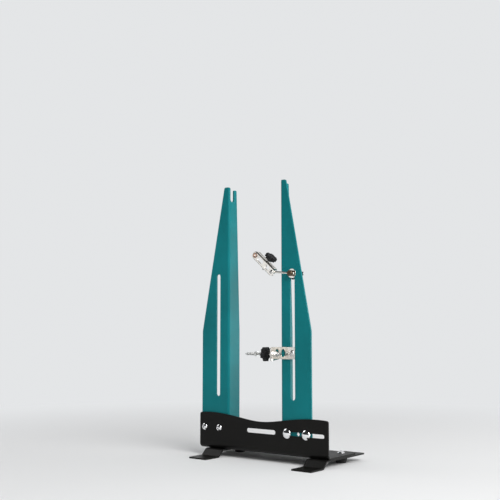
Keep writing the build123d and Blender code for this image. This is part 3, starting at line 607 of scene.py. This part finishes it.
def threaded_rod(name):
    """Tree: a threaded rod with a cone point, from its point upwards."""
    inputs = {"Length": "Float", "Crest": "Float", "Depth": "Float", "Pitch": "Float"}
    inputs.update({"Point length": "Float", "Point radius": "Float", "Steps": "Int"})
    inputs["Material"] = "Material"
    rule = Rule(name, inputs)
    given = rule.given
    core = given["Crest"] - given["Depth"]
    straight = given["Length"] - given["Point length"]
    capped = {"fill_type": "NGON"}
    inputs = {"Vertices": ROD_SIDES, "Radius": core, "Depth": straight}
    shank = rule.add("GeometryNodeMeshCylinder", capped, inputs)
    middle = rule.add("ShaderNodeCombineXYZ", None, {"Z": given["Point length"] + straight * 0.5})
    shank = rule.add("GeometryNodeTransform", None, {"Geometry": shank, "Translation": middle})
    inputs = {"Vertices": ROD_SIDES, "Depth": given["Point length"]}
    inputs.update({"Radius Top": core, "Radius Bottom": given["Point radius"]})
    point = rule.add("GeometryNodeMeshCone", capped, inputs)
    ridge = rule.ridge(core, straight / given["Pitch"], straight)
    foot = rule.add("ShaderNodeCombineXYZ", None, {"Z": given["Point length"]})
    ridge = rule.add("GeometryNodeTransform", None, {"Geometry": ridge, "Translation": foot})
    joined = rule.add("GeometryNodeJoinGeometry", None, {"Geometry": [shank, point, ridge]})
    return rule.end(rule.shaded(joined, False))


def standing_on(origin, along, across):
    """Matrix that stands a piece on a point: its Z along one axis, its X across it."""
    up = Vector(along).normalized()
    right = Vector(across).normalized()
    left = up.cross(right)
    turn = Matrix((right, left, up)).transposed().to_4x4()
    return Matrix.Translation(Vector(origin)) @ turn


def arc(centre, radius, start, end, steps=6):
    """Points of an arc in the XZ plane, from one angle in degrees to another."""
    angles = [math.radians(start + (end - start) * i / steps) for i in range(steps + 1)]
    return [(centre[0] + radius * math.cos(a), 0.0, centre[1] + radius * math.sin(a)) for a in angles]


def knob_profile(diameter, head, hub_diameter, hub, dish):
    """Half section of a star knob from its hub's foot over the rim to its middle."""
    outer = diameter / 2
    neck = hub_diameter / 2
    top = hub + head
    foot = HUB_ROUND_SHARE * neck
    low = LOW_ROUND_SHARE * head
    high = HIGH_ROUND_SHARE * head
    points = [(0.0, 0.0, 0.0), (neck - foot, 0.0, 0.0)]
    points += arc((neck - foot, foot), foot, -90, 0, 3)
    points += [(neck, 0.0, hub)]
    points += arc((outer - low, hub + low), low, -90, 0)
    points += arc((outer - high, top - high), high, 0, 90)
    points += [(DISH_RIM_SHARE * outer, 0.0, top), (DISH_FLOOR_SHARE * outer, 0.0, top - dish)]
    points += [(0.0, 0.0, top - dish)]
    return points


def knob_piece(node, matrix, diameter, head, hub_diameter, hub):
    """A star knob that stands for its CAD node."""
    sizes = bpy.context.scene.stand_knobs
    profile = knob_profile(diameter, head, hub_diameter, hub, sizes.dish * diameter / sizes.diameter)
    edges = [(i, i + 1) for i in range(len(profile) - 1)]
    values = {
        "Radius": diameter / 2,
        "Hub radius": hub_diameter / 2,
        "Lobes": float(sizes.lobes),
        "Scallop offset": sizes.scallop_offset,
        "Scallop radius": sizes.scallop_radius,
        "Rounding": LOBE_ROUNDING,
        "Around": STEPS_A_LOBE * sizes.lobes + 1,
        "Along": STEPS_ALONG,
        "Material": material_for(SLOT_OF[node]),
    }
    piece = ruled(f"{node}_star", points_mesh(node, profile, edges), star_knob, values)
    piece.data.transform(matrix)
    return seat(piece, node)


def thread_piece(node, places, tilt, run):
    """The bare thread ends of a group of M6 screws; it rides with them."""
    sizes = bpy.context.scene.stand_threads
    name = f"{node}_thread"
    values = {
        "Crest": M6 / 2 + CREST_RISE,
        "Depth": sizes.depth_share * sizes.pitch_m6,
        "Pitch": sizes.pitch_m6,
        "Turns": run / sizes.pitch_m6,
        "Steps": sizes.steps,
        "Tilt": tilt,
        "Material": material_for("zinc"),
    }
    piece = ruled(name, points_mesh(name, places), thread, values)
    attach(piece, BODY_OF[node])
    return piece


def weld_point(mesh, height):
    """Take away the two caps where a rod meets its cone point, and join the two there."""
    skin = bmesh.new()
    skin.from_mesh(mesh)
    level = {corner for corner in skin.verts if abs(corner.co.z - height) < FINE_WELD}
    caps = [face for face in skin.faces if level.issuperset(face.verts)]
    rim = {corner for face in caps for corner in face.verts}
    bmesh.ops.delete(skin, geom=caps, context="FACES_ONLY")
    bmesh.ops.remove_doubles(skin, verts=list(rim), dist=FINE_WELD)
    skin.to_mesh(mesh)
    skin.free()


def feeler_piece(node, matrix, full_length):
    """A threaded feeler screw that stands for its CAD node."""
    sizes = bpy.context.scene.stand_threads
    values = {
        "Length": full_length,
        "Crest": M5_RADIUS,
        "Depth": sizes.depth_share * sizes.pitch_m5,
        "Pitch": sizes.pitch_m5,
        "Point length": POINT_LENGTH,
        "Point radius": POINT_RADIUS,
        "Steps": sizes.steps,
        "Material": material_for(SLOT_OF[node]),
    }
    piece = ruled(f"{node}_thread", points_mesh(node, [(0.0, 0.0, 0.0)]), threaded_rod, values)
    weld_point(piece.data, POINT_LENGTH)
    piece.data.transform(matrix)
    return seat(piece, node)


class StandOperator:
    """What the stand's operators share."""

    bl_options = {"REGISTER", "UNDO"}
    nodes = ()
    edge = "sheet"

    def execute(self, context):
        width = getattr(context.scene.stand_edges, self.edge)
        for node in self.nodes:
            softened(node, width)
        return {"FINISHED"}


class STAND_OT_uprights(StandOperator, bpy.types.Operator):
    """Round the edges of the two uprights and coat them"""

    bl_idname = "stand.uprights"
    bl_label = "Uprights"
    nodes = ("upright_left", "upright_right")


class STAND_OT_base(StandOperator, bpy.types.Operator):
    """Round the edges of the base and its foot strips and coat them"""

    bl_idname = "stand.base"
    bl_label = "Base"
    nodes = ("base_plate", "foot_strip_left", "foot_strip_right")


class STAND_OT_rubber_feet(StandOperator, bpy.types.Operator):
    """Round the rubber feet"""

    bl_idname = "stand.rubber_feet"
    bl_label = "Rubber Feet"
    nodes = ("rubber_feet",)
    edge = "rubber"


class STAND_OT_gauge_strips(StandOperator, bpy.types.Operator):
    """Plate the bracket, channel, rod, stud, front washer and guide of the gauges"""

    bl_idname = "stand.gauge_strips"
    bl_label = "Gauge Strips"
    nodes = ("rim_bracket", "disc_link", "disc_rod", "disc_stud", "disc_front_washer", "rim_guide")
    edge = "strip"


class STAND_OT_fasteners(StandOperator, bpy.types.Operator):
    """Break the edges of bolts, nuts, washers and small screws"""

    bl_idname = "stand.fasteners"
    bl_label = "Fasteners"
    nodes = (
        "foot_screws", "foot_nuts", "left_bolts", "left_washers", "left_nuts", "width_bolts",
        "width_washers", "width_nuts", "rim_clamp_screw", "rim_clamp_washer", "rim_feeler_nut",
        "rim_stop_nut", "disc_rear_washer", "disc_set_screw", "disc_pivot_screw", "disc_pivot_nut",
        "disc_eyelet",
    )
    edge = "fastener"


class STAND_OT_threads(StandOperator, bpy.types.Operator):
    """Cut threads on the bare ends of the bolts and screws"""

    bl_idname = "stand.threads"
    bl_label = "Threads"

    def execute(self, context):
        back = (math.radians(-90.0), 0.0, 0.0)
        upward = (0.0, 0.0, 0.0)
        for node, nuts in (("left_bolts", "left_nuts"), ("width_bolts", "width_nuts")):
            low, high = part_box(nuts)
            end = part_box(node)[1].y
            corner = (high.z - low.z) / math.sqrt(3)
            z = (low.z + high.z) / 2
            places = [(x, high.y, z) for x in (low.x + corner, high.x - corner)]
            thread_piece(node, places, back, end - high.y - SCREW_END)
        # Only the front foot screws end in the open: the rubber feet cover the rear ones.
        low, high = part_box("foot_nuts")
        half = (high.x - low.x) / 2 - M6_NUT_HALF_CORNERS
        middle = (low.x + high.x) / 2
        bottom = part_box("foot_screws")[0].z + SCREW_END
        places = [(middle + side * half, low.y + M6_NUT_HALF_FLATS, bottom) for side in (-1, 1)]
        thread_piece("foot_screws", places, upward, low.z - bottom)
        return {"FINISHED"}


class STAND_OT_knobs(StandOperator, bpy.types.Operator):
    """Mould the four star knobs"""

    bl_idname = "stand.knobs"
    bl_label = "Star Knobs"

    def execute(self, context):
        sizes = context.scene.stand_knobs
        large = (sizes.diameter, sizes.head, sizes.hub_diameter, sizes.hub)
        small = (sizes.small_diameter, sizes.small_head, sizes.small_hub_diameter, sizes.small_hub)
        for gauge in ("rim", "disc"):
            node = f"{gauge}_clamp_knob"
            foot = Vector(JOINTS[f"{gauge}_clamp_turn"]["pos_m"])
            foot.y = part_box(node)[0].y
            knob_piece(node, standing_on(foot, (0, 1, 0), (-1, 0, 0)), *large)
        foot = Vector(JOINTS["rim_feeler_spin"]["pos_m"])
        foot.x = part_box("rim_feeler_knob")[1].x
        knob_piece("rim_feeler_knob", standing_on(foot, (-1, 0, 0), (0, 0, 1)), *large)
        spin = JOINTS["disc_feeler_spin"]
        away = -Vector(spin["axis"])
        foot = Vector(spin["pos_m"]) + away * DISC_KNOB_OFFSET
        knob_piece("disc_feeler_knob", standing_on(foot, away, (0, 1, 0)), *small)
        return {"FINISHED"}


class STAND_OT_feelers(StandOperator, bpy.types.Operator):
    """Make the two threaded feeler screws"""

    bl_idname = "stand.feelers"
    bl_label = "Feeler Screws"

    def execute(self, context):
        spin = JOINTS["rim_feeler_spin"]
        low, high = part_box("rim_feeler_screw")
        tip = Vector((low.x, spin["pos_m"][1], spin["pos_m"][2]))
        feeler_piece("rim_feeler_screw", standing_on(tip, (1, 0, 0), (0, 1, 0)), high.x - low.x)
        spin = JOINTS["disc_feeler_spin"]
        away = -Vector(spin["axis"]).normalized()
        tip = Vector(spin["pos_m"]) - away * DISC_TIP_REACH
        feeler_piece("disc_feeler_screw", standing_on(tip, away, (0, 1, 0)), DISC_FEELER_LENGTH)
        return {"FINISHED"}


class STAND_OT_stage(StandOperator, bpy.types.Operator):
    """Set up the camera, the lamps and the pale floor with its backdrop"""

    bl_idname = "stand.stage"
    bl_label = "Stage"

    def execute(self, context):
        stage = context.scene.stand_stage
        self.camera(context, stage)
        self.sweep(stage)
        for name, (place, size) in LAMPS.items():
            self.lamp(f"{name}_lamp", place, size, getattr(stage, name))
        self.sky(context, stage)
        context.scene.view_settings.view_transform = "Standard"
        return {"FINISHED"}

    def camera(self, context, stage):
        """Camera in front on the right, low and looking a little up."""
        data = bpy.data.cameras.new("camera")
        data.sensor_width = 36.0
        data.lens = stage.lens
        data.clip_start = 0.01
        eye = bpy.data.objects.new("camera", data)
        context.scene.collection.objects.link(eye)
        eye.location = stage.camera
        eye.rotation_euler = (math.pi / 2 + stage.rise, 0.0, stage.turn)
        context.scene.camera = eye

    def sweep(self, stage):
        """Floor that curves up into a backdrop behind the stand."""
        bend, reach, near, top, half = 1.2, 3.4, -9.0, 4.5, 9.0
        curve = arc((reach - bend, bend), bend, -90, 0, 18)
        line = [(near, 0.0), *((along, z) for along, _, z in curve), (reach, top)]
        away = Vector((-math.sin(stage.turn), math.cos(stage.turn), 0.0))
        across = Vector((math.cos(stage.turn), math.sin(stage.turn), 0.0))
        rows = [(away * along - across * half, away * along + across * half, z) for along, z in line]
        corners = [(*point.xy, z) for left, right, z in rows for point in (left, right)]
        faces = [(2 * i, 2 * i + 1, 2 * i + 3, 2 * i + 2) for i in range(len(rows) - 1)]
        mesh = bpy.data.meshes.new("sweep")
        mesh.from_pydata(corners, [], faces)
        mesh.shade_smooth()
        mesh.materials.append(self.floor_finish(stage))
        new_object("sweep", mesh)

    def floor_finish(self, stage):
        """Pale floor that fades, where the camera sees it, into the haze far from the stand."""
        floor = Finish("floor_finish")
        clouds = floor.noise(1.5, 3.0)
        tone = floor.mixed(clouds, shade(stage.floor, 0.985), shade(stage.floor, 1.01))
        near = floor.add("ShaderNodeBsdfPrincipled", None, {"Base Color": tone, "Roughness": 0.85})
        far = floor.add("ShaderNodeEmission", None, {"Color": (*SKY_TINT, 1.0), "Strength": stage.haze})
        distance = floor.add("ShaderNodeVectorMath", {"operation": "LENGTH"}, {0: floor.place}, "Value")
        seen = floor.others(floor.add("ShaderNodeLightPath"))["Is Camera Ray"]
        share = distance.between(HAZE_FROM, HAZE_TO) * seen
        surface = floor.add("ShaderNodeMixShader", None, {0: share, 1: near, 2: far})
        floor.add("ShaderNodeOutputMaterial", None, {"Surface": surface})
        return floor.material

    def lamp(self, name, place, size, power):
        """Round soft lamp that the camera doesn't see."""
        data = bpy.data.lights.new(name, "AREA")
        data.shape = "DISK"
        data.size = size
        data.energy = power
        lamp = bpy.data.objects.new(name, data)
        bpy.context.scene.collection.objects.link(lamp)
        lamp.location = place
        aim = Vector(AIM) - Vector(place)
        lamp.rotation_euler = aim.to_track_quat("-Z", "Y").to_euler()
        lamp.visible_camera = False

    def sky(self, context, stage):
        """Even light, a pale backdrop for the camera and a dark panel in front for mirror finishes."""
        world = bpy.data.worlds.new("sky")
        world.use_nodes = True
        world.node_tree.nodes.clear()
        graph = Graph(world.node_tree)
        rays = graph.others(graph.add("ShaderNodeLightPath"))
        seen = (rays["Is Camera Ray"] + rays["Is Transmission Ray"]).clamped()
        toward = graph.others(graph.add("ShaderNodeTexCoord"))["Generated"]
        inputs = {0: toward, 1: PANEL_FACING}
        turned = graph.add("ShaderNodeVectorMath", {"operation": "DOT_PRODUCT"}, inputs, "Value")
        height = graph.others(graph.add("ShaderNodeSeparateXYZ", None, {0: toward}))["Z"]
        panel = turned.between(*PANEL_EDGE) * height.between(*PANEL_FOOT)
        glossy = rays["Is Glossy Ray"]
        mirrored = glossy * (1.0 - panel * stage.dark_panel)
        strength = stage.sky * (1.0 - seen) * (1.0 - glossy) + stage.haze * seen + mirrored
        light = graph.add("ShaderNodeBackground", None, {"Color": (*SKY_TINT, 1.0), "Strength": strength})
        graph.add("ShaderNodeOutputWorld", None, {"Surface": light})
        context.scene.world = world


class STAND_PT_panel(bpy.types.Panel):
    """Steps that dress the truing stand"""

    bl_idname = "STAND_PT_panel"
    bl_label = "Truing Stand"
    bl_space_type = "VIEW_3D"
    bl_region_type = "UI"
    bl_category = "Truing Stand"

    def draw(self, context):
        for step in STEPS:
            self.layout.operator(step.bl_idname)
        for group in GROUPS:
            box = self.layout.box()
            settings = getattr(context.scene, group)
            for name in settings.__annotations__:
                box.prop(settings, name)


GROUPS = {
    "stand_finishes": StandFinishes,
    "stand_edges": StandEdges,
    "stand_threads": StandThreads,
    "stand_knobs": StandKnobs,
    "stand_stage": StandStage,
}
STEPS = (
    STAND_OT_stage,
    STAND_OT_uprights,
    STAND_OT_base,
    STAND_OT_rubber_feet,
    STAND_OT_gauge_strips,
    STAND_OT_fasteners,
    STAND_OT_threads,
    STAND_OT_knobs,
    STAND_OT_feelers,
)


def register():
    for kind in (*GROUPS.values(), *STEPS, STAND_PT_panel):
        bpy.utils.register_class(kind)
    for name, kind in GROUPS.items():
        setattr(bpy.types.Scene, name, bpy.props.PointerProperty(type=kind))


def unregister():
    for name in GROUPS:
        delattr(bpy.types.Scene, name)
    for kind in (STAND_PT_panel, *reversed(STEPS), *reversed(GROUPS.values())):
        bpy.utils.unregister_class(kind)


def main():
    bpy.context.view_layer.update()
    register()
    for step in STEPS:
        group, name = step.bl_idname.split(".")
        getattr(getattr(bpy.ops, group), name)()


if __name__ == "__main__":
    main()
